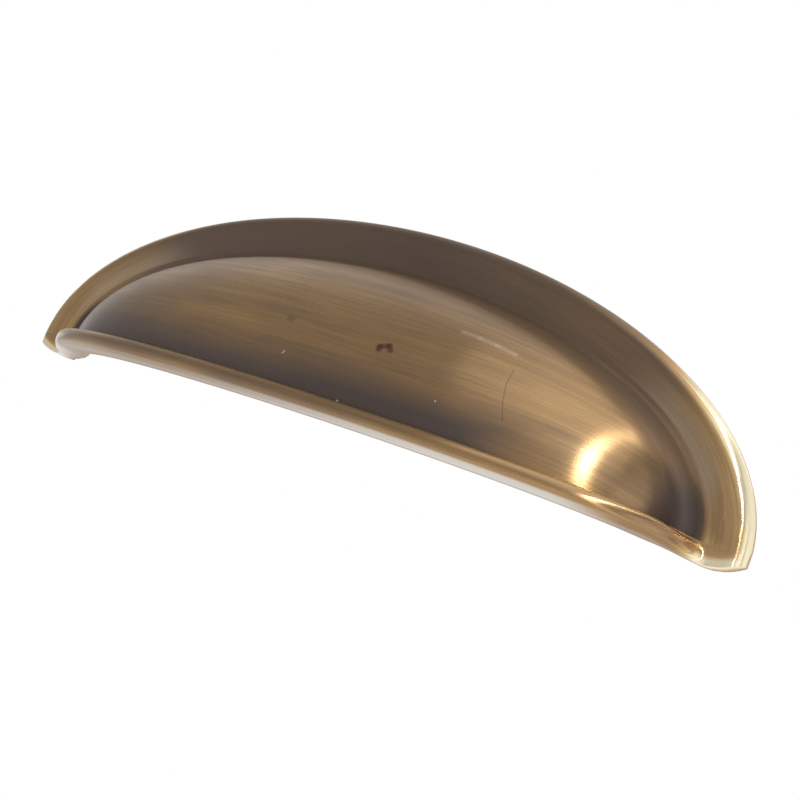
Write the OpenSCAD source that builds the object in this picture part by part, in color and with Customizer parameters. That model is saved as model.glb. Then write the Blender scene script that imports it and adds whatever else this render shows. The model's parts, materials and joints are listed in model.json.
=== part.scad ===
// Cup pull for a drawer or cupboard: one solid casting of antiqued brass.
// A half-oval backplate carries a hollow hood, and a rounded lip runs along
// the hood's open bottom edge. Two tapped posts inside take screws from behind.
// X runs along the pull, Y into the drawer front, Z up. Millimetres.
// The origin lies on the back face, midway between the two tapped holes.

/* [Backplate] */
// Length of the backplate from tip to tip
plate_l = 105; // [90:1:140]
// Height of the backplate above the line through its two tips
plate_h = 27.4; // [24:0.1:40]
// Thickness of the backplate
plate_t = 2.6; // [1.8:0.1:4]
// Rounding of the backplate's front edge
plate_edge_r = 1.8; // [0.4:0.1:2.2]
// Depth of the bottom edge at each end of the lip, below the line through the tips
plate_drop = 1.6; // [1.2:0.1:2.2]
// Height by which the bottom edge rises from there to a tip
tip_rise = 1.4; // [0.4:0.1:1.6]
// Distance from a tip over which it rises
tip_run = 4.2; // [3:0.1:5]

/* [Hood] */
// Width of backplate left beside each end of the hood
rim_side_w = 7.4; // [5:0.1:12]
// Width of backplate left above the hood
rim_top_w = 6.4; // [4.5:0.1:10]
// Projection of the hood from the back face
hood_proj = 21; // [18:0.2:32]
// Thickness of the hood's wall
wall = 2.6; // [1.8:0.1:4]
// Depth of the fillet between the hood and the backplate
root_depth = 2.2; // [0.8:0.1:3.2]
// Width of that fillet above the hood
root_top_w = 1; // [0.6:0.1:2.4]
// Width of that fillet at each end of the hood
root_side_w = 4.2; // [1:0.1:4.6]

/* [Hollow] */
// Depth of the flare at the back of the hollow
mouth_depth = 4.6; // [1:0.1:5]
// Width of that flare above the hollow
mouth_top_w = 1; // [0.4:0.1:1.6]
// Width of that flare at each end of the hollow
mouth_side_w = 4.6; // [1:0.1:5]

/* [Lip] */
// Height of the rounded lip
lip_h = 2.35; // [2:0.05:4]
// Distance that the lip stands out in front of the hood
lip_over = 1.2; // [1:0.1:2.4]
// Distance that the lip stands out beside the hood
lip_side_over = 2.7; // [1:0.1:3.4]
// Depth of the lip's flat underside below the line through the tips
lip_drop = 1.15; // [0.8:0.05:1.8]
// Depth of the sweep with which each end of the lip runs out on the backplate
lip_end_depth = 1.6; // [0.6:0.1:4]
// Width of that sweep
lip_end_w = 1.4; // [0.6:0.1:2.6]
// Distance by which the lip sinks into the bottom edge at each end
lip_sink = 0.8; // [0.4:0.1:1.2]
// Bevel on the inner edge of the underside
lip_bevel = 0.5; // [0.2:0.1:0.8]

/* [Fixing] */
// Distance between the two tapped holes
screw_centres = 64; // [50:1:76]
// Height of the tapped holes above the line through the tips
screw_rise = 8.5; // [6:0.5:11]
// Diameter of the posts inside the hood
post_d = 8; // [6:0.1:10]
// Core diameter of the tapped holes, for M4
tap_d = 3.3; // [2.5:0.1:4.2]
// Depth of the tapped holes from the back face
tap_depth = 8; // [5:0.5:9]
// Bevel at the mouth of the tapped holes
tap_bevel = 0.4; // [0.2:0.1:0.8]

/* [Hidden] */

// Steps along the pull: over the hollow, its mouth, the fillets and the tips
hood_steps = 19;
mouth_steps = 3;
fillet_steps = 6;
sweep_steps = 5;
tip_steps = 7;
// Steps round one section: lip, hood with its fillet, plate edge, hollow
lip_rows = 9;
hood_rows = 23;
edge_rows = 4;
hollow_rows = 11;
// Share of a section's steps that the hood takes for each one of the fillet
hood_weight = 2.8;
// Distance that a cutting solid runs past its partner
past = 1;
// Smallest step between two sections
least = 0.03;
// Drill point
drill_angle = 118;
arc_fn = 96;

half_l = plate_l / 2;
hood_a = half_l - rim_side_w;
hood_b = plate_h - rim_top_w;
in_a = hood_a - wall;
in_b = hood_b - wall;
in_c = hood_proj - wall;
lip_a = hood_a + lip_side_over;
lip_c = hood_proj + lip_over;
lip_r = lip_h / 2;
lip_mid = lip_r - lip_drop;
lip_top = lip_h - lip_drop;
tip_from = half_l - tip_run;

// Share of an oval's width that is left at the distance t from its middle.
function oval(t, r) = sqrt(max(0, 1 - (t / r) * (t / r)));

// Outline of the backplate over one place along the pull, moved in by d.
function plate_top(x, d) = (plate_h - d) * oval(x, half_l - d);
function tip_share(x) = max(0, x - tip_from) / tip_run;
function ease(t) = t * t * (3 - 2 * t);
function end_share(x) = ease(min(1, max(0, (x - in_a) / (tip_from - in_a))));
function dip(x) = (plate_drop - lip_drop) * end_share(x);
function plate_low(x) = tip_rise * pow(tip_share(x), 2) - lip_drop - dip(x);

// Depth of the backplate's front at a distance d in from its outline.
function edge_y(d) = d >= plate_edge_r ? plate_t
  : plate_t - plate_edge_r
    + sqrt(max(0, plate_edge_r * plate_edge_r - (plate_edge_r - d) * (plate_edge_r - d)));
function edge_gap(x, z) =
  let (f = 1 - pow(x / half_l, 2) - pow(z / plate_h, 2),
       g = 2 * sqrt(pow(x / half_l / half_l, 2) + pow(z / plate_h / plate_h, 2)),
       slope = 2 * tip_rise * tip_share(x) / tip_run)
  max(0, min(f / max(g, 1e-6), (z - plate_low(x)) / sqrt(1 + slope * slope)));
function plate_y(x, z) = edge_y(edge_gap(x, z));

// Oval rings of the fillet at the hood's root, from the plate at 0 to the hood at 90.
function ring_y(u) = plate_t + root_depth * (1 - cos(u));
function ring_a(u) = hood_a * oval(ring_y(u), hood_proj) + root_side_w * (1 - sin(u));
function ring_b(u) = hood_b * oval(ring_y(u), hood_proj) + root_top_w * (1 - sin(u));
function ring_z(u, x) = ring_b(u) * oval(x, ring_a(u));
function ring_end(u) = ring_a(u) * oval(lip_top - dip(ring_a(u)), ring_b(u));
function ring_at(x, lo, hi, n) =
  let (u = (lo + hi) / 2)
  n == 0 ? u : (ring_end(u) > x ? ring_at(x, u, hi, n - 1) : ring_at(x, lo, u, n - 1));
function ring_top(x) = x <= ring_end(90) ? 90 : (x >= ring_end(0) ? 0 : ring_at(x, 0, 90, 24));

// Plan of the lip, moved in by d, with the sweep at its end on the backplate.
function sweep_y(u) = plate_t + lip_end_depth * (1 - cos(u));
function sweep_x(u, d) = (lip_a - d) * oval(sweep_y(u), lip_c - d) + lip_end_w * (1 - sin(u));
function sweep_at(x, d, lo, hi, n) =
  let (u = (lo + hi) / 2)
  n == 0 ? u : (sweep_x(u, d) > x ? sweep_at(x, d, u, hi, n - 1) : sweep_at(x, d, lo, u, n - 1));
function lip_y(x, d) = x <= sweep_x(90, d) ? (lip_c - d) * oval(x, lip_a - d)
  : (x >= sweep_x(0, d) ? 0 : sweep_y(sweep_at(x, d, 0, 90, 24)));

// Half length and height of the hollow at the depth y, with the flare at its mouth.
function mouth(y, w) = w * pow(max(0, 1 - y / mouth_depth), 2);
function hollow_a(y) = in_a * oval(y, in_c) + mouth(y, mouth_side_w);
function hollow_b(y) = in_b * oval(y, in_c) + mouth(y, mouth_top_w);
function hollow_at(x, lo, hi, n) =
  let (y = (lo + hi) / 2)
  n == 0 ? y : (hollow_a(y) > x ? hollow_at(x, y, hi, n - 1) : hollow_at(x, lo, y, n - 1));
function hollow_y(x) = x >= hollow_a(0) ? 0 : hollow_at(x, 0, in_c, 30);

// Section of the hood and its fillet at x, as steps up from the lip.
function hood_rows_at(x, low, high) =
  let (q = oval(x, hood_a),
       top = ring_top(x),
       in_hood = x < ring_end(90),
       from = in_hood ? asin((lip_top - dip(x)) / (hood_b * q)) : 0,
       to = in_hood ? acos((plate_t + root_depth) / (hood_proj * q)) : 0,
       share = in_hood ? hood_weight * q * (to - from) : 0,
       part = share / (share + top + least))
  [for (i = [0 : hood_rows])
    let (s = i / hood_rows,
         v = from + (to - from) * s / max(part, least),
         u = top * (1 - (s - part) / (1 - part)),
         flat = low + (high - low) * 0.6 * s)
    top <= 0 ? [plate_y(x, flat), flat]
      : (s < part ? [hood_proj * q * cos(v), hood_b * q * sin(v)]
        : [max(ring_y(u), plate_y(x, ring_z(u, x))), ring_z(u, x)])];

// One closed section across the pull at x, as depth and height.
function section(x) =
  let (low = plate_low(x),
       high = plate_top(x, 0),
       in = min(plate_edge_r, 0.6 * (half_l - x)),
       bend = min(lip_top - dip(x), low + 0.45 * (plate_top(x, in) - low)),
       hood = hood_rows_at(x, bend, plate_top(x, in)),
       deep = hollow_y(x),
       hollow = deep > 0,
       back = low + min(1.6, 0.4 * (high - low)))
  concat(
    [for (i = [0 : lip_rows])
      let (z = low + (bend - low) * (1 - cos(180 * i / lip_rows)) / 2,
           t = min(1, abs(z + lip_sink * end_share(x) - lip_mid) / lip_r),
           d = lip_r * (1 - sqrt(1 - t * t)))
      [max(t < 0.999 || z < lip_mid ? lip_y(x, d) : 0, plate_y(x, z), hood[0][0]), z]],
    [for (i = [0 : hood_rows]) [hood[i][0], hood[i][1] + (i == 0 ? least : 0)]],
    [for (i = [0 : edge_rows])
      let (u = 90 * i / edge_rows, d = in * (1 - sin(u)))
      [edge_y(d), plate_top(x, d)]],
    [[0, high]],
    [for (i = [0 : hollow_rows])
      let (y = deep * sin(90 * pow(i / hollow_rows, 1.4)))
      hollow ? [y, i < hollow_rows ? hollow_b(y) * oval(x, hollow_a(y)) : 0]
        : [0, back + (low - back) * i / (hollow_rows + 2)]],
    hollow ? [[deep, low + lip_bevel], [deep + lip_bevel, low]]
      : [[0, back + (low - back) * (hollow_rows + 1) / (hollow_rows + 2)], [0, low]]);

// Places along the right half of the pull at which a section is taken.
function sorted(v) = len(v) < 2 ? v
  : let (p = v[floor(len(v) / 2)])
    concat(sorted([for (t = v) if (t < p) t]), [p], sorted([for (t = v) if (t > p) t]));
function spaced(v, i = 1, kept = [0]) = i >= len(v) ? kept
  : spaced(v, i + 1, v[i] - kept[len(kept) - 1] >= least ? concat(kept, [v[i]]) : kept);
stations = spaced(sorted(concat(
  [for (i = [0 : hood_steps]) in_a * sin(86.5 * i / hood_steps)],
  [for (i = [0 : mouth_steps]) hollow_a(mouth_depth * (1 - i / mouth_steps))],
  [hollow_a(0) - least],
  [for (i = [0 : fillet_steps]) ring_end(90 * (1 - i / fillet_steps))],
  [for (i = [0 : sweep_steps]) sweep_x(90 * (1 - i / sweep_steps), 0)],
  [for (i = [1 : tip_steps]) half_l - plate_edge_r * 1.5 * pow(1 - 0.82 * i / tip_steps, 2)])));

// The casting without its posts, through all the sections from tip to tip.
module shell() {
  half = [for (x = stations) [for (p = section(x)) [x, -p[0], p[1]]]];
  m = len(half);
  rings = concat(
    [for (k = [m - 1 : -1 : 1]) [for (p = half[k]) [-p[0], p[1], p[2]]]],
    half);
  n = len(rings[0]);
  end = len(rings) - 1;
  middle = len(rings) * n;
  sides = [for (k = [0 : end - 1], i = [0 : n - 1])
    let (j = (i + 1) % n, p = k * n, r = p + n)
    each [[p + i, p + j, r + j], [p + i, r + j, r + i]]];
  tips = [for (i = [0 : n - 1])
    let (j = (i + 1) % n)
    each [[middle, j, i], [middle + 1, end * n + i, end * n + j]]];
  centre = [for (r = [rings[0], rings[end]]) [for (c = [0 : 2]) [for (p = r) 1] * [for (p = r) p[c]] / n]];
  polyhedron(points = concat([for (r = rings) each r], centre),
             faces = concat(sides, tips), convexity = 8);
}

// A round bar along Y at each fixing, from the depth y0 forward over a length.
module at_fixings(y0, d1, d2, length) {
  for (side = [-1, 1])
    translate([side * screw_centres / 2, -y0, screw_rise])
      rotate([90, 0, 0])
        cylinder(h = length, d1 = d1, d2 = d2, $fn = arc_fn);
}

// Posts that end inside the hood's wall.
module posts() {
  intersection() {
    at_fixings(0, post_d, post_d, lip_c);
    scale([hood_a - wall / 2, hood_proj - wall / 2, hood_b - wall / 2])
      sphere(r = 1, $fn = arc_fn);
  }
}

// Tapped holes from the back, with a bevelled mouth and a drill point.
module tapped_holes() {
  tip_l = tap_d / 2 / tan(drill_angle / 2);
  at_fixings(-past, tap_d, tap_d, tap_depth + past);
  at_fixings(tap_depth, tap_d, 0, tip_l);
  at_fixings(0, tap_d + 2 * tap_bevel, tap_d, tap_bevel);
}

// The whole casting.
module cup_pull() {
  color([0.47, 0.34, 0.19])
    translate([0, 0, -screw_rise])
      difference() {
        union() {
          shell();
          posts();
        }
        tapped_holes();
      }
}

cup_pull();
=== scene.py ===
import json
import math

import bmesh
import bpy
from mathutils import Matrix, Vector


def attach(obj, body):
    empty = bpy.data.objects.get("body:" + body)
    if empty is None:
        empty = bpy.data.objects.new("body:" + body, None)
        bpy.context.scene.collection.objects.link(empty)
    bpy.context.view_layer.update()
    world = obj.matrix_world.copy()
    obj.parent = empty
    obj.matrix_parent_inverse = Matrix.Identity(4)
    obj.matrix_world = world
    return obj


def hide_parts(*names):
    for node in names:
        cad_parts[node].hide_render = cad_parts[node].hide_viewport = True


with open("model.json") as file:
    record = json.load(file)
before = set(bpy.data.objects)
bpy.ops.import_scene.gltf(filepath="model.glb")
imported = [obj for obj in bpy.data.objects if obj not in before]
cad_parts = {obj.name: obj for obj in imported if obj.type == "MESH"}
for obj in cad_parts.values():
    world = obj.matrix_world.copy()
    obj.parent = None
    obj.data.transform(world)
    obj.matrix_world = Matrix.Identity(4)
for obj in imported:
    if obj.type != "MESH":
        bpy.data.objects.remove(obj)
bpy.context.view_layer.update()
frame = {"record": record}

# The casting
# One piece of brass, cast with its backplate, hood, lip and posts together,
# brushed along its length, darkened, and rubbed bright again where a hand would wear it. Light and
# shade are also painted into its colour.
mm = 0.001
plate_l = 105 * mm
plate_h = 27.4 * mm
plate_t = 2.6 * mm
plate_edge_r = 1.8 * mm
plate_drop = 1.6 * mm
tip_rise = 1.4 * mm
tip_run = 4.2 * mm
rim_side_w = 7.4 * mm
rim_top_w = 6.4 * mm
hood_proj = 21 * mm
wall = 2.6 * mm
root_depth = 2.2 * mm
root_top_w = 1 * mm
root_side_w = 4.2 * mm
mouth_depth = 4.6 * mm
mouth_top_w = 1 * mm
mouth_side_w = 4.6 * mm
lip_h = 2.35 * mm
lip_over = 1.2 * mm
lip_side_over = 2.7 * mm
lip_drop = 1.15 * mm
lip_end_depth = 1.6 * mm
lip_end_w = 1.4 * mm
lip_sink = 0.8 * mm
lip_bevel = 0.5 * mm
screw_rise = 8.5 * mm
post_d = 8 * mm
tap_depth = 8 * mm
tap_bevel = 0.4 * mm
drill_angle = math.radians(118)
fixing = next(m for m in frame["record"]["mounts"] if m["name"] == "fixing_holes")
screw_centres = fixing["dims"]["spacing_x_mm"] * mm
tap_r = fixing["dims"]["hole_r_mm"] * mm

half_l = plate_l / 2
hood_a = half_l - rim_side_w
hood_b = plate_h - rim_top_w
in_a = hood_a - wall
in_b = hood_b - wall
in_c = hood_proj - wall
lip_a = hood_a + lip_side_over
lip_c = hood_proj + lip_over
lip_r = lip_h / 2
lip_mid = lip_r - lip_drop
lip_top = lip_h - lip_drop
tip_from = half_l - tip_run
quarter = math.pi / 2
flat_slope = 1e-6        # stands for a slope of nothing in the middle of the plate

# Points round one section: lip, hood with its fillet, plate edge, back, hollow, bevel
lip_rows = 18
hood_rows = 56
edge_rows = 8
hollow_rows = 23
section_rows = (lip_rows + 1) + (hood_rows + 1) + (edge_rows + 1) + 1 + (hollow_rows + 1) + 2
hood_share = 2.8         # weight of the hood against its fillet in sharing out the rows
fillet_least = 0.001     # keeps some rows for the fillet
flat_share = 0.6         # height of the hood's rows where only the plate is left
edge_share = 0.6         # most of the way to the tip that the plate's round edge takes up
bend_share = 0.45        # most of the plate's height that the lip's rows take up
bead_end = 0.999         # share of its half height at which the lip's round ends
hollow_crowd = 1.4       # sets the hollow's rows closer at its mouth
back_step = 1.6 * mm     # where the last rows begin on a back without a hollow
back_share = 0.4         # or this share of the height there, if that is less
least = 0.03 * mm


def oval(t, r):
    """Share of an oval's width that is left at the distance t from its middle."""
    return math.sqrt(max(0, 1 - (t / r) ** 2))


def dome_share(s, t):
    """Share of an oval dome's depth that is left over the place s, t of its plan."""
    return math.sqrt(max(0, 1 - s * s - t * t))


def falls_to(curve, x, end=quarter):
    """The place between 0 and end at which a falling curve comes down to x."""
    low, high = 0, end
    for _ in range(40):
        middle = (low + high) / 2
        if curve(middle) > x:
            low = middle
        else:
            high = middle
    return (low + high) / 2


def plate_top(x, d):
    return (plate_h - d) * oval(x, half_l - d)


def tip_share(x):
    return max(0, x - tip_from) / tip_run


def end_share(x):
    """How far the lip has come down into the plate's bottom edge, from 0 to 1."""
    t = min(1, max(0, (x - in_a) / (tip_from - in_a)))
    return t * t * (3 - 2 * t)


def dip(x):
    return (plate_drop - lip_drop) * end_share(x)


def plate_low(x):
    return tip_rise * tip_share(x) ** 2 - lip_drop - dip(x)


def edge_y(d):
    """Depth of the backplate's front at the distance d in from its outline."""
    if d >= plate_edge_r:
        return plate_t
    return plate_t - plate_edge_r + plate_edge_r * oval(plate_edge_r - d, plate_edge_r)


def arch_gap(x, z):
    """Distance of a place on the backplate from its arched outline."""
    inside = 1 - (x / half_l) ** 2 - (z / plate_h) ** 2
    slope = 2 * math.hypot(x / half_l ** 2, z / plate_h ** 2)
    return inside / max(slope, flat_slope)


def edge_gap(x, z):
    """Distance of a place on the backplate from its whole outline."""
    from_below = (z - plate_low(x)) / math.hypot(1, 2 * tip_rise * tip_share(x) / tip_run)
    return max(0, min(arch_gap(x, z), from_below))


def plate_y(x, z):
    return edge_y(edge_gap(x, z))


def ring_y(u):
    """Depth of one oval ring of the fillet at the hood's root."""
    return plate_t + root_depth * (1 - math.cos(u))


def ring_a(u):
    return hood_a * oval(ring_y(u), hood_proj) + root_side_w * (1 - math.sin(u))


def ring_b(u):
    return hood_b * oval(ring_y(u), hood_proj) + root_top_w * (1 - math.sin(u))


def ring_end(u):
    return ring_a(u) * oval(lip_top - dip(ring_a(u)), ring_b(u))


def sweep_y(u):
    return plate_t + lip_end_depth * (1 - math.cos(u))


def sweep_x(u, d):
    """Plan of the sweep with which the end of the lip runs out on the backplate."""
    return (lip_a - d) * oval(sweep_y(u), lip_c - d) + lip_end_w * (1 - math.sin(u))


def lip_y(x, d):
    if x <= sweep_x(quarter, d):
        return (lip_c - d) * oval(x, lip_a - d)
    if x >= sweep_x(0, d):
        return 0
    return sweep_y(falls_to(lambda u: sweep_x(u, d), x))


def hollow_a(y):
    """Half length of the hollow at the depth y, with the flare at its mouth."""
    return in_a * oval(y, in_c) + mouth_side_w * max(0, 1 - y / mouth_depth) ** 2


def hollow_b(y):
    return in_b * oval(y, in_c) + mouth_top_w * max(0, 1 - y / mouth_depth) ** 2


def hood_points(x, low, high):
    """Section of the hood and its fillet at x, upwards from the lip."""
    steps = [i / hood_rows for i in range(hood_rows + 1)]
    in_hood = x < ring_end(quarter)
    top = quarter if in_hood else 0 if x >= ring_end(0) else falls_to(ring_end, x)
    if top <= 0:
        flat = [low + (high - low) * flat_share * s for s in steps]
        return [(plate_y(x, z), z) for z in flat]
    width = oval(x, hood_a)
    start = math.asin((lip_top - dip(x)) / (hood_b * width)) if in_hood else 0
    stop = math.acos((plate_t + root_depth) / (hood_proj * width)) if in_hood else 0
    share = hood_share * width * (stop - start) if in_hood else 0
    part = share / (share + top + fillet_least)
    points = []
    for s in steps:
        if s < part:
            v = start + (stop - start) * s / part
            points.append((hood_proj * width * math.cos(v), hood_b * width * math.sin(v)))
        else:
            u = top * (1 - (s - part) / (1 - part))
            z = ring_b(u) * oval(x, ring_a(u))
            points.append((max(ring_y(u), plate_y(x, z)), z))
    return points


def section(x):
    """One closed section across the pull at x, as depth and height."""
    low = plate_low(x)
    high = plate_top(x, 0)
    inset = min(plate_edge_r, edge_share * (half_l - x))
    bend = min(lip_top - dip(x), low + bend_share * (plate_top(x, inset) - low))
    hood = hood_points(x, bend, plate_top(x, inset))
    points = []
    for i in range(lip_rows + 1):
        z = low + (bend - low) * (1 - math.cos(math.pi * i / lip_rows)) / 2
        t = min(1, abs(z + lip_sink * end_share(x) - lip_mid) / lip_r)
        bead = lip_y(x, lip_r * (1 - oval(t, 1))) if t < bead_end or z < lip_mid else 0
        points.append((max(bead, plate_y(x, z), hood[0][0]), z))
    points.append((hood[0][0], hood[0][1] + least))
    points += hood[1:]
    for i in range(edge_rows + 1):
        d = inset * (1 - math.sin(quarter * i / edge_rows))
        points.append((edge_y(d), plate_top(x, d)))
    points.append((0, high))
    if x < hollow_a(0):
        deep = falls_to(hollow_a, x, in_c)
        for i in range(hollow_rows):
            y = deep * math.sin(quarter * (i / hollow_rows) ** hollow_crowd)
            points.append((y, hollow_b(y) * oval(x, hollow_a(y))))
        points += [(deep, 0), (deep, low + lip_bevel), (deep + lip_bevel, low)]
    else:
        start = low + min(back_step, back_share * (high - low))
        count = hollow_rows + 3
        points += [(0, start + (low - start) * i / (count - 1)) for i in range(count)]
    return points


# Places along the right half at which a section is taken
hood_steps = 40
mouth_steps = 10
fillet_steps = 14
sweep_steps = 14
tip_steps = 16
hood_end = math.radians(86.5)
tip_zone = 1.5 * plate_edge_r
tip_close = 0.82         # how near the last section comes to the tip
places = [in_a * math.sin(hood_end * i / hood_steps) for i in range(hood_steps + 1)]
places += [hollow_a(mouth_depth * (1 - i / mouth_steps)) for i in range(mouth_steps + 1)]
places += [hollow_a(0) - least]
places += [ring_end(quarter * (1 - i / fillet_steps)) for i in range(fillet_steps + 1)]
places += [sweep_x(quarter * (1 - i / sweep_steps), 0) for i in range(sweep_steps + 1)]
places += [half_l - tip_zone * (1 - tip_close * i / tip_steps) ** 2
           for i in range(1, tip_steps + 1)]
stations = []
for x in sorted(places):
    if not stations or x - stations[-1] >= least:
        stations.append(x)

# A bar with one side for each point of a section, cut into rings for the sections
bpy.ops.object.select_all(action="DESELECT")
bpy.ops.mesh.primitive_cylinder_add(vertices=section_rows, radius=1, depth=2,
                                    end_fill_type="NOTHING")
casting = bpy.context.object
casting.name = casting.data.name = "cup_pull_casting"
bpy.ops.object.mode_set(mode="EDIT")
bpy.ops.mesh.select_mode(type="EDGE")
bm = bmesh.from_edit_mesh(casting.data)
for edge in bm.edges:
    edge.select_set(abs(edge.verts[0].co.z - edge.verts[1].co.z) > 1)
bmesh.update_edit_mesh(casting.data)
bpy.ops.mesh.subdivide(number_cuts=len(stations) - 2)
bm = bmesh.from_edit_mesh(casting.data)
girth = bm.verts.layers.float.new("girth")
row_of = bm.verts.layers.float.new("row")
sections = [section(x) for x in stations]
for vert in bm.verts:
    ring = round((vert.co.z + 1) / 2 * (len(stations) - 1))
    row = round(math.atan2(vert.co.x, vert.co.y) / (2 * math.pi) * section_rows) % section_rows
    line = sections[ring]
    depth, height = line[row]
    vert[row_of] = row
    vert[girth] = sum(math.dist(line[i], line[i + 1]) for i in range(row))
    if depth <= plate_t + root_depth and row > lip_rows:
        vert[girth] = plate_l + arch_gap(stations[ring], height)
    vert.co = (stations[ring], -depth, height - screw_rise)
bmesh.update_edit_mesh(casting.data)

# The open tip is closed, and the half is mirrored to the whole pull
for edge in bm.edges:
    edge.select_set(edge.is_boundary and min(v.co.x for v in edge.verts) > half_l - plate_edge_r)
bmesh.update_edit_mesh(casting.data)
bpy.ops.mesh.edge_face_add()
bpy.ops.mesh.select_all(action="SELECT")
bpy.ops.mesh.normals_make_consistent(inside=False)
bpy.ops.object.mode_set(mode="OBJECT")
mirror = casting.modifiers.new("other half", "MIRROR")
mirror.use_axis = (True, False, False)
mirror.merge_threshold = 0.001 * mm
bpy.ops.object.modifier_apply(modifier=mirror.name)
bpy.ops.object.mode_set(mode="EDIT")
bpy.ops.mesh.select_all(action="SELECT")
bpy.ops.mesh.normals_make_consistent(inside=False)
bpy.ops.object.mode_set(mode="OBJECT")

# A post for each screw stands in the hollow and ends in the middle of the hood's wall
post_sides = 64
post_blank = 2 * mm
for screw_x in (-screw_centres / 2, screw_centres / 2):
    bpy.ops.object.select_all(action="DESELECT")
    bpy.ops.mesh.primitive_cylinder_add(vertices=post_sides, radius=post_d / 2, depth=post_blank,
                                        end_fill_type="TRIFAN", location=(screw_x, 0, 0),
                                        rotation=(quarter, 0, 0))
    post = bpy.context.object
    bpy.ops.object.transform_apply(location=True, rotation=True, scale=True)
    for vert in post.data.vertices:
        share = dome_share(vert.co.x / (hood_a - wall / 2),
                           (vert.co.z + screw_rise) / (hood_b - wall / 2))
        vert.co.y = 0 if vert.co.y > 0 else -(hood_proj - wall / 2) * share
    bpy.ops.object.select_all(action="DESELECT")
    casting.select_set(True)
    bpy.context.view_layer.objects.active = casting
    joint = casting.modifiers.new("post", "BOOLEAN")
    joint.operation = "UNION"
    joint.solver = "EXACT"
    joint.object = post
    bpy.ops.object.modifier_apply(modifier=joint.name)
    bpy.data.objects.remove(post)

# Each post has a blind hole with a drill point, a bevelled mouth and an M4 thread
thread_pitch = 0.7 * mm
thread_h = 0.35 * mm
thread_l = tap_depth - 2 * thread_pitch
groove_half = 0.375      # half the width of the groove, in pitches
groove_flank = 0.3125    # width of one of its flanks, in pitches
hole_sides = 48
hole_rings = 92
drill_tip = tap_r / math.tan(drill_angle / 2)
for screw_x in (-screw_centres / 2, screw_centres / 2):
    bpy.ops.object.select_all(action="DESELECT")
    bpy.ops.mesh.primitive_cylinder_add(vertices=hole_sides, radius=1, depth=2,
                                        end_fill_type="TRIFAN")
    tap = bpy.context.object
    bpy.ops.object.mode_set(mode="EDIT")
    bpy.ops.mesh.select_mode(type="EDGE")
    bm = bmesh.from_edit_mesh(tap.data)
    for edge in bm.edges:
        edge.select_set(abs(edge.verts[0].co.z - edge.verts[1].co.z) > 1)
    bmesh.update_edit_mesh(tap.data)
    bpy.ops.mesh.subdivide(number_cuts=hole_rings - 2)
    bm = bmesh.from_edit_mesh(tap.data)
    for vert in bm.verts:
        ring = round((vert.co.z + 1) / 2 * (hole_rings - 1))
        turn = math.atan2(vert.co.y, vert.co.x)
        depth = tap_depth - (tap_depth + tap_bevel) * ring / (hole_rings - 1)
        phase = abs((depth / thread_pitch - turn / (2 * math.pi)) % 1 - 0.5)
        groove = 0
        if 0 < depth < thread_l:
            groove = min(1, max(0, (groove_half - phase) / groove_flank))
        bevel = max(0, tap_bevel - depth)
        radius = tap_r + max(thread_h * groove, bevel)
        in_middle = math.hypot(vert.co.x, vert.co.y) < 0.5
        if in_middle:
            radius = 0
            depth += drill_tip if ring == 0 else 0
        vert.co = (screw_x + radius * math.cos(turn), -depth, radius * math.sin(turn))
    bm.normal_update()
    bmesh.update_edit_mesh(tap.data)
    bpy.ops.mesh.select_all(action="SELECT")
    bpy.ops.mesh.normals_make_consistent(inside=False)
    bpy.ops.object.mode_set(mode="OBJECT")
    bpy.ops.object.select_all(action="DESELECT")
    casting.select_set(True)
    bpy.context.view_layer.objects.active = casting
    cut = casting.modifiers.new("tapped hole", "BOOLEAN")
    cut.operation = "DIFFERENCE"
    cut.solver = "EXACT"
    cut.object = tap
    bpy.ops.object.modifier_apply(modifier=cut.name)
    bpy.data.objects.remove(tap)
crease_angle = math.radians(38)
bpy.ops.object.shade_smooth_by_angle(angle=crease_angle)


def ease(value, start, stop):
    """A soft step from 0 at start to 1 at stop."""
    t = min(1, max(0, (value - start) / (stop - start)))
    return t * t * (3 - 2 * t)


def plate_wear_and_light(x, z):
    """Share of the dark finish that is gone at one place of the backplate's front. The edges toward
    the ends are worn bright and carry a painted highlight, and the right side has painted light,
    most inside its right edge.
    """
    gap = edge_gap(abs(x), z)
    face = 0.05 + 0.07 * ease(x, 0, 30 * mm)
    face += 0.1 * ease(x, 34 * mm, 49 * mm) + 0.28 * ease(-x, 34 * mm, 48 * mm)
    toward_edge = 0.3 * ease(x, 34 * mm, 50 * mm) * (1 - ease(gap, mm, 4.5 * mm))
    edge = 0.06 + 0.75 * ease(abs(x), 28 * mm, 48 * mm)
    return face + toward_edge + edge * (1 - ease(gap, 0.2 * mm, 1.3 * mm))
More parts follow.
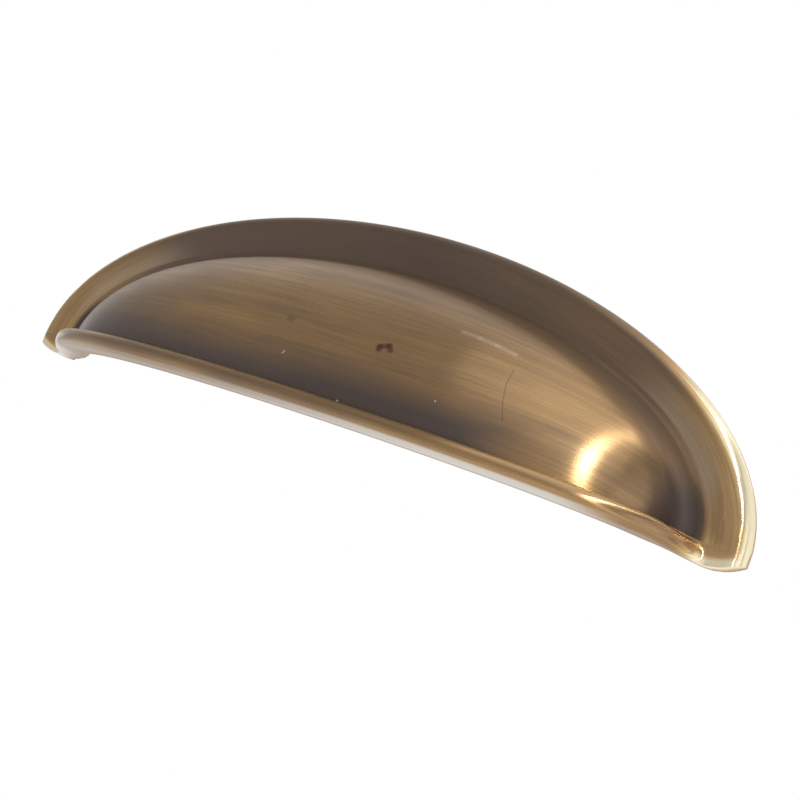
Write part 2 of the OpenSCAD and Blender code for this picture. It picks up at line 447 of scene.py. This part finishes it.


# The dark finish is rubbed off by hand, most at the ends and edges. Painted shade darkens the
# corners,
# the fillets at the hood's root and the hood along the lip, and painted light brightens the right
# side and the edges:
# the first attribute is the share of the finish that is gone together with this painted light and
# shade, recess marks a dull corner, pale a painted reflection of the white below and a painted
# highlight line
rub_back = 0.16
rub_post = 0.2
# painted shade in the fillet at the hood's root
painted_root_shade = 0.12
root_top = plate_t + root_depth
root_fade = plate_t + 2.6 * root_depth
line_from_edge = 4.5 * mm
front_rows = lip_rows + hood_rows + edge_rows + 2
layers = casting.data.attributes
for name in ("wear_and_painted_light", "recess", "pale"):
    layers.new(name, "FLOAT", "POINT")
for i, vert in enumerate(casting.data.vertices):
    x, y, z = vert.co.x, -vert.co.y, vert.co.z + screw_rise
    out = abs(x)
    row = layers["row"].data[i].value
    rightward = ease(x, -25 * mm, 10 * mm)
    wear_and_painted_light, recess, pale = rub_back, 0, 0
    at_post = math.hypot(out - screw_centres / 2, vert.co.z) < post_d / 2 + least
    if at_post and y < in_c * dome_share(x / in_a, z / in_b) + least:
        wear_and_painted_light = rub_post
    elif row <= lip_rows:
        # The lip has a painted highlight on its upper right and a silvery painted reflection of the
        # white below underneath and on its left end
        over = (z + lip_sink * end_share(out) - lip_mid) / lip_r
        wear_and_painted_light = 0.2 + 0.1 * ease(over, 0.3, 0.8)
        wear_and_painted_light += 0.14 * ease(x, 0, 30 * mm) - 0.08 * ease(x, 36 * mm, 46 * mm)
        wear_and_painted_light += (plate_wear_and_light(x, z) - wear_and_painted_light) * ease(out, 45.5 * mm, 48.3 * mm)
        below = ease(-over, 0.45, 0.7) * (1 - ease(x, 34 * mm, 42 * mm))
        below *= 0.2 + 0.7 * ease(x, -20 * mm, 26 * mm)
        nose = ease(-x, 41 * mm, 45 * mm) * ease(-over, -0.4, 0)
        pale = max(below, nose) * (1 - ease(out, 47.6 * mm, 48.8 * mm))
    elif row <= front_rows and y > root_top:
        # The hood has painted shade along the lip, at its root, in the pockets at its ends and on
        # its left, painted light on its right, and it is darker toward its top
        foot = max(ease(z - lip_top, 0.4 * mm, 6.5 * mm), ease(x, 20 * mm, 36 * mm))
        pocket = ease(out, 41 * mm, 43.8 * mm) * (1 - ease(z, 4 * mm, 10 * mm))
        near_root = 1 - ease(y, root_top, root_fade)
        wear_and_painted_light = 0.01 + 0.31 * foot - 0.1 * ease(z, 12 * mm, 20 * mm)
        wear_and_painted_light += 0.07 * ease(x, 22 * mm, 32 * mm) - 0.04 * ease(x, -4 * mm, 8 * mm)
        wear_and_painted_light *= 1 - 0.45 * ease(x, 37 * mm, 43 * mm) - 0.5 * ease(-x, 8 * mm, 36 * mm)
        wear_and_painted_light = (wear_and_painted_light + (painted_root_shade - wear_and_painted_light) * near_root) * (1 - pocket)
        recess = max(near_root * rightward, pocket)
    elif row <= front_rows:
        # The backplate has a thin painted highlight line round the fillet, which itself has painted
        # shade, as does the low corner at the hood's root
        root = (y - plate_t) / root_depth
        line = 1 - ease(abs(arch_gap(out, z) - line_from_edge), 0.3 * mm, 0.9 * mm)
        pocket = ease(root, 0.01, 0.15) * (1 - ease(z, 4 * mm, 9 * mm))
        corner = ease(root, 0.02, 0.3)
        wear_and_painted_light = (plate_wear_and_light(x, z) + 0.08 * line) * (1 - corner) + painted_root_shade * corner
        wear_and_painted_light *= 1 - pocket
        recess = max(corner * rightward, pocket)
        pale = 0.2 * line * (1 - corner) * ease(z, 3 * mm, 8 * mm)
    layers["wear_and_painted_light"].data[i].value = wear_and_painted_light
    layers["recess"].data[i].value = recess
    layers["pale"].data[i].value = pale
layers.remove(layers["row"])

metal = bpy.data.materials.new("antique_brass")
metal.use_nodes = True
nodes = metal.node_tree.nodes
links = metal.node_tree.links
finish = nodes["Principled BSDF"]
finish.inputs["Metallic"].default_value = 1
finish.inputs["Anisotropic"].default_value = 1
finish.inputs["Anisotropic Rotation"].default_value = 0.25
finish.inputs["Coat Roughness"].default_value = 0.4
along = nodes.new("ShaderNodeCombineXYZ")
along.inputs["X"].default_value = 1
links.new(along.outputs["Vector"], finish.inputs["Tangent"])

# Brush lines run along the pull and keep their distance from the lip
place = nodes.new("ShaderNodeTexCoord")
split = nodes.new("ShaderNodeSeparateXYZ")
links.new(place.outputs["Object"], split.inputs["Vector"])
girth_here = nodes.new("ShaderNodeAttribute")
girth_here.attribute_name = "girth"
brushed = {}
for name, length, pitch, detail in (("lines", 9 * mm, 0.22 * mm, 3),
                                    ("bands", 26 * mm, 1.5 * mm, 2)):
    stretch = nodes.new("ShaderNodeCombineXYZ")
    for axis, source, unit in (("X", split.outputs["X"], length),
                               ("Y", girth_here.outputs["Fac"], pitch),
                               ("Z", split.outputs["Z"], length)):
        scaled = nodes.new("ShaderNodeMath")
        scaled.operation = "DIVIDE"
        scaled.inputs[1].default_value = unit
        links.new(source, scaled.inputs[0])
        links.new(scaled.outputs["Value"], stretch.inputs[axis])
    grain = nodes.new("ShaderNodeTexNoise")
    grain.inputs["Scale"].default_value = 1
    grain.inputs["Detail"].default_value = detail
    links.new(stretch.outputs["Vector"], grain.inputs["Vector"])
    brushed[name] = grain.outputs["Fac"]
cloud_size = 14 * mm
cloud = nodes.new("ShaderNodeTexNoise")
cloud.inputs["Scale"].default_value = 1 / cloud_size
cloud.inputs["Detail"].default_value = 3
links.new(place.outputs["Object"], cloud.inputs["Vector"])

# The dark finish is rubbed off unevenly: in lines, in bands and in soft patches
# The attribute read here holds the wear together with painted light and shade
wear_and_light_here = nodes.new("ShaderNodeAttribute")
wear_and_light_here.attribute_name = "wear_and_painted_light"
bare_and_painted_light = wear_and_light_here.outputs["Fac"]
for fac, low, high in ((brushed["lines"], 0.78, 1.22),
                       (brushed["bands"], 0.85, 1.15),
                       (cloud.outputs["Fac"], 0.85, 1.15)):
    uneven = nodes.new("ShaderNodeMapRange")
    uneven.inputs["From Min"].default_value = 0.3
    uneven.inputs["From Max"].default_value = 0.7
    uneven.inputs["To Min"].default_value = low
    uneven.inputs["To Max"].default_value = high
    links.new(fac, uneven.inputs["Value"])
    times = nodes.new("ShaderNodeMath")
    times.operation = "MULTIPLY"
    links.new(bare_and_painted_light, times.inputs[0])
    links.new(uneven.outputs["Result"], times.inputs[1])
    bare_and_painted_light = times.outputs["Value"]
tone = nodes.new("ShaderNodeValToRGB")
tone.color_ramp.elements[0].position = 0
tone.color_ramp.elements[0].color = (0.14, 0.105, 0.092, 1)
tone.color_ramp.elements[1].position = 1
tone.color_ramp.elements[1].color = (1, 0.88, 0.6, 1)
brown = tone.color_ramp.elements.new(0.32)
brown.color = (0.43, 0.262, 0.12, 1)
gold = tone.color_ramp.elements.new(0.62)
gold.color = (0.68, 0.45, 0.21, 1)
links.new(bare_and_painted_light, tone.inputs["Fac"])
# pale mixes in a painted reflection of the white below on the lip and a painted highlight line on
# the backplate
pale_here = nodes.new("ShaderNodeAttribute")
pale_here.attribute_name = "pale"
mix_factor, mix_a, mix_b, mix_result = 0, 6, 7, 2       # sockets of a mix of two colours
painted_reflection = nodes.new("ShaderNodeMix")
painted_reflection.data_type = "RGBA"
painted_reflection.inputs[mix_b].default_value = (0.72, 0.68, 0.62, 1)
links.new(pale_here.outputs["Fac"], painted_reflection.inputs[mix_factor])
links.new(tone.outputs["Color"], painted_reflection.inputs[mix_a])

# Small marks from use on the hood, and a pale streak: places in mm along the pull and up from its
# chord, then colour, radius in mm and strength
brown_spot = (0.11, 0.045, 0.025, 1)
dull_spot = (0.2, 0.15, 0.08, 1)
scratch = (0.12, 0.07, 0.045, 1)
pale_streak = (0.85, 0.66, 0.5, 1)
dust = (0.85, 0.82, 0.78, 1)
marks = [((9.9, 8.5), (9.8, 8.9), (10.7, 9.3), (11.2, 8.8), brown_spot, 0.5, 0.7),
         ((-2.8, 9.1), (-2.5, 9.0), dull_spot, 0.65, 0.55),
         ((24.2, 11.4), (24.6, 9.4), (25.4, 7.3), (26.4, 5.2), scratch, 0.1, 0.5),
         ((16.5, 14.0), (18.5, 13.9), (20.7, 13.7), (22.9, 13.4), pale_streak, 0.5, 0.32),
         ((-0.9, 4.7), (-0.8, 5.0), dust, 0.12, 0.75),
         ((8.4, 1.3), (8.5, 1.3), dust, 0.14, 0.75),
         ((19.0, 4.7), (19.0, 4.8), dust, 0.12, 0.75)]
mark_core = 0.4          # share of the radius that has the full strength
strokes = []
for *line, mark_colour, radius, strength in marks:
    line = [(x * mm, z * mm) for x, z in line]
    line = [Vector((x, -hood_proj * dome_share(x / hood_a, z / hood_b), z - screw_rise))
            for x, z in line]
    strokes += [(start, stop - start, mark_colour, radius * mm, strength)
                for start, stop in zip(line, line[1:])]
colour = painted_reflection.outputs[mix_result]
for start, reach, mark_colour, radius, strength in strokes:
    from_start = nodes.new("ShaderNodeVectorMath")
    from_start.operation = "SUBTRACT"
    from_start.inputs[1].default_value = start
    links.new(place.outputs["Object"], from_start.inputs[0])
    passed = nodes.new("ShaderNodeVectorMath")
    passed.operation = "DOT_PRODUCT"
    passed.inputs[1].default_value = reach / reach.length_squared
    links.new(from_start.outputs["Vector"], passed.inputs[0])
    within = nodes.new("ShaderNodeClamp")
    links.new(passed.outputs["Value"], within.inputs["Value"])
    nearest = nodes.new("ShaderNodeVectorMath")
    nearest.operation = "SCALE"
    nearest.inputs[0].default_value = reach
    links.new(within.outputs["Result"], nearest.inputs["Scale"])
    away = nodes.new("ShaderNodeVectorMath")
    away.operation = "DISTANCE"
    links.new(from_start.outputs["Vector"], away.inputs[0])
    links.new(nearest.outputs["Vector"], away.inputs[1])
    spot = nodes.new("ShaderNodeMapRange")
    spot.inputs["From Min"].default_value = radius
    spot.inputs["From Max"].default_value = mark_core * radius
    spot.inputs["To Max"].default_value = strength
    links.new(away.outputs["Value"], spot.inputs["Value"])
    marked = nodes.new("ShaderNodeMix")
    marked.data_type = "RGBA"
    marked.inputs[mix_b].default_value = mark_colour
    links.new(spot.outputs["Result"], marked.inputs[mix_factor])
    links.new(colour, marked.inputs[mix_a])
    colour = marked.outputs[mix_result]
links.new(colour, finish.inputs["Base Color"])

# Bare metal is smoother than what is left of the dark finish, and corners are dull
smooth = nodes.new("ShaderNodeMapRange")
smooth.inputs["From Min"].default_value = 0
smooth.inputs["From Max"].default_value = 0.3
smooth.inputs["To Min"].default_value = 0.4
smooth.inputs["To Max"].default_value = 0.27
links.new(bare_and_painted_light, smooth.inputs["Value"])
recess_here = nodes.new("ShaderNodeAttribute")
recess_here.attribute_name = "recess"
dull = nodes.new("ShaderNodeMix")
dull.inputs["B"].default_value = 0.8
links.new(recess_here.outputs["Fac"], dull.inputs["Factor"])
links.new(smooth.outputs["Result"], dull.inputs["A"])
polish = nodes.new("ShaderNodeMix")
polish.inputs["B"].default_value = 0.2
links.new(pale_here.outputs["Fac"], polish.inputs["Factor"])
links.new(dull.outputs["Result"], polish.inputs["A"])
links.new(polish.outputs["Result"], finish.inputs["Roughness"])
lacquer = nodes.new("ShaderNodeMapRange")
lacquer.inputs["To Min"].default_value = 0.35
lacquer.inputs["To Max"].default_value = 0.05
links.new(recess_here.outputs["Fac"], lacquer.inputs["Value"])
links.new(lacquer.outputs["Result"], finish.inputs["Coat Weight"])
furrow = nodes.new("ShaderNodeBump")
furrow.inputs["Strength"].default_value = 0.25
furrow.inputs["Distance"].default_value = 0.02 * mm
links.new(brushed["lines"], furrow.inputs["Height"])
links.new(furrow.outputs["Normal"], finish.inputs["Normal"])
casting.data.materials.clear()
casting.data.materials.append(metal)

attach(casting, "root")
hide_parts("cup_pull")

# The floor
# A plain pale floor well below the pull. The metal mirrors it as white,
# and it doesn't hide the pull from below.
floor_drop = 200 * mm
floor_size = 3
bpy.ops.object.select_all(action="DESELECT")
bpy.ops.mesh.primitive_plane_add(size=floor_size, location=(0, 0, -floor_drop))
floor = bpy.context.object
floor.name = "floor"
paint = bpy.data.materials.new("pale_floor")
paint.use_nodes = True
nodes = paint.node_tree.nodes
links = paint.node_tree.links
matt = nodes["Principled BSDF"]
matt.inputs["Base Color"].default_value = (0.85, 0.85, 0.84, 1)
matt.inputs["Roughness"].default_value = 0.8
light_path = nodes.new("ShaderNodeLightPath")
reflected = nodes.new("ShaderNodeMath")
reflected.operation = "MAXIMUM"
links.new(light_path.outputs["Is Glossy Ray"], reflected.inputs[0])
links.new(light_path.outputs["Is Transmission Ray"], reflected.inputs[1])
glow = nodes.new("ShaderNodeEmission")
front = nodes.new("ShaderNodeMixShader")
links.new(reflected.outputs["Value"], front.inputs["Fac"])
links.new(matt.outputs["BSDF"], front.inputs[1])
links.new(glow.outputs["Emission"], front.inputs[2])
facing = nodes.new("ShaderNodeNewGeometry")
clear = nodes.new("ShaderNodeBsdfTransparent")
both = nodes.new("ShaderNodeMixShader")
links.new(facing.outputs["Backfacing"], both.inputs["Fac"])
links.new(front.outputs["Shader"], both.inputs[1])
links.new(clear.outputs["BSDF"], both.inputs[2])
links.new(both.outputs["Shader"], nodes["Material Output"].inputs["Surface"])
floor.data.materials.append(paint)

# The white sheet
# White paper hung behind the pull, which fills the picture from the photograph's angle.
# It is clear from behind, so that the back of the pull can be seen.
sheet_gap = 90 * mm
sheet_l = 820 * mm
sheet_h = 330 * mm
sheet_shift = 180 * mm
sheet_top = 130 * mm
bpy.ops.object.select_all(action="DESELECT")
bpy.ops.mesh.primitive_plane_add(size=1, rotation=(quarter, 0, 0), scale=(sheet_l, sheet_h, 1),
                                 location=(sheet_shift, sheet_gap, sheet_top - sheet_h / 2))
bpy.ops.object.transform_apply(location=False, rotation=False, scale=True)
sheet = bpy.context.object
sheet.name = "white_sheet"
paper = bpy.data.materials.new("white_paper")
paper.use_nodes = True
nodes = paper.node_tree.nodes
links = paper.node_tree.links
nodes.clear()
output = nodes.new("ShaderNodeOutputMaterial")
glow = nodes.new("ShaderNodeEmission")
matt = nodes.new("ShaderNodeBsdfDiffuse")
matt.inputs["Color"].default_value = (0.9, 0.9, 0.9, 1)
clear = nodes.new("ShaderNodeBsdfTransparent")
light_path = nodes.new("ShaderNodeLightPath")
facing = nodes.new("ShaderNodeNewGeometry")
seen = nodes.new("ShaderNodeMath")
seen.operation = "MAXIMUM"
links.new(light_path.outputs["Is Camera Ray"], seen.inputs[0])
links.new(light_path.outputs["Is Glossy Ray"], seen.inputs[1])
seen_through = nodes.new("ShaderNodeMath")
seen_through.operation = "MAXIMUM"
links.new(seen.outputs["Value"], seen_through.inputs[0])
links.new(light_path.outputs["Is Transmission Ray"], seen_through.inputs[1])
front = nodes.new("ShaderNodeMixShader")
links.new(seen_through.outputs["Value"], front.inputs["Fac"])
links.new(matt.outputs["BSDF"], front.inputs[1])
links.new(glow.outputs["Emission"], front.inputs[2])
both = nodes.new("ShaderNodeMixShader")
links.new(facing.outputs["Backfacing"], both.inputs["Fac"])
links.new(front.outputs["Shader"], both.inputs[1])
links.new(clear.outputs["BSDF"], both.inputs[2])
links.new(both.outputs["Shader"], output.inputs["Surface"])
sheet.data.materials.append(paper)

# The light
# A grey room all round, and three lamps at the viewer's right: a small one that makes the streak
# on the hood, a large soft one high up and a soft one low at the side.
world = bpy.data.worlds.new("studio")
bpy.context.scene.world = world
world.use_nodes = True
world.node_tree.nodes["Background"].inputs["Color"].default_value = (0.45, 0.45, 0.45, 1)

# Name, degrees to the right and up from straight in front, width and watts of each lamp
lamps = (("small_lamp", 46, 37, 40 * mm, 0.45),
         ("soft_screen", 40, 64, 420 * mm, 0.36),
         ("side_screen", 72, 10, 260 * mm, 0.14))
lamp_distance = 450 * mm
for name, turn, rise, size, power in lamps:
    turn = math.radians(turn)
    rise = math.radians(rise)
    way = Vector((math.sin(turn) * math.cos(rise),
                  -math.cos(turn) * math.cos(rise),
                  math.sin(rise)))
    lamp = bpy.data.objects.new(name, bpy.data.lights.new(name, "AREA"))
    lamp.data.shape = "DISK"
    lamp.data.size = size
    lamp.data.energy = power
    lamp.location = way * lamp_distance
    lamp.rotation_euler = way.to_track_quat("Z", "Y").to_euler()
    bpy.context.collection.objects.link(lamp)

# The camera
# It looks from the right and a little from below, turned so that the pull slopes down to the right.
camera_side = math.radians(30.821)
camera_tilt = math.radians(6.971)
camera_roll = math.radians(21.127)
camera_distance = 215.42 * mm
look_at = Vector((3.762 * mm, 0, 6.364 * mm - screw_rise))
focal_px = 1750
image_px = 800
ahead = Vector((-math.sin(camera_side) * math.cos(camera_tilt),
                math.cos(camera_side) * math.cos(camera_tilt),
                math.sin(camera_tilt)))
level = Vector((math.cos(camera_side), math.sin(camera_side), 0))
upright = level.cross(ahead)
right = level * math.cos(camera_roll) + upright * math.sin(camera_roll)
above = upright * math.cos(camera_roll) - level * math.sin(camera_roll)
camera = bpy.data.objects.new("camera", bpy.data.cameras.new("camera"))
camera.data.sensor_width = 36
camera.data.lens = camera.data.sensor_width * focal_px / image_px
camera.data.clip_start = 10 * mm
turned = Matrix((right, above, -ahead)).transposed().to_4x4()
camera.matrix_world = Matrix.Translation(look_at - ahead * camera_distance) @ turned
bpy.context.collection.objects.link(camera)
bpy.context.scene.camera = camera

bpy.context.scene.view_settings.view_transform = "Standard"
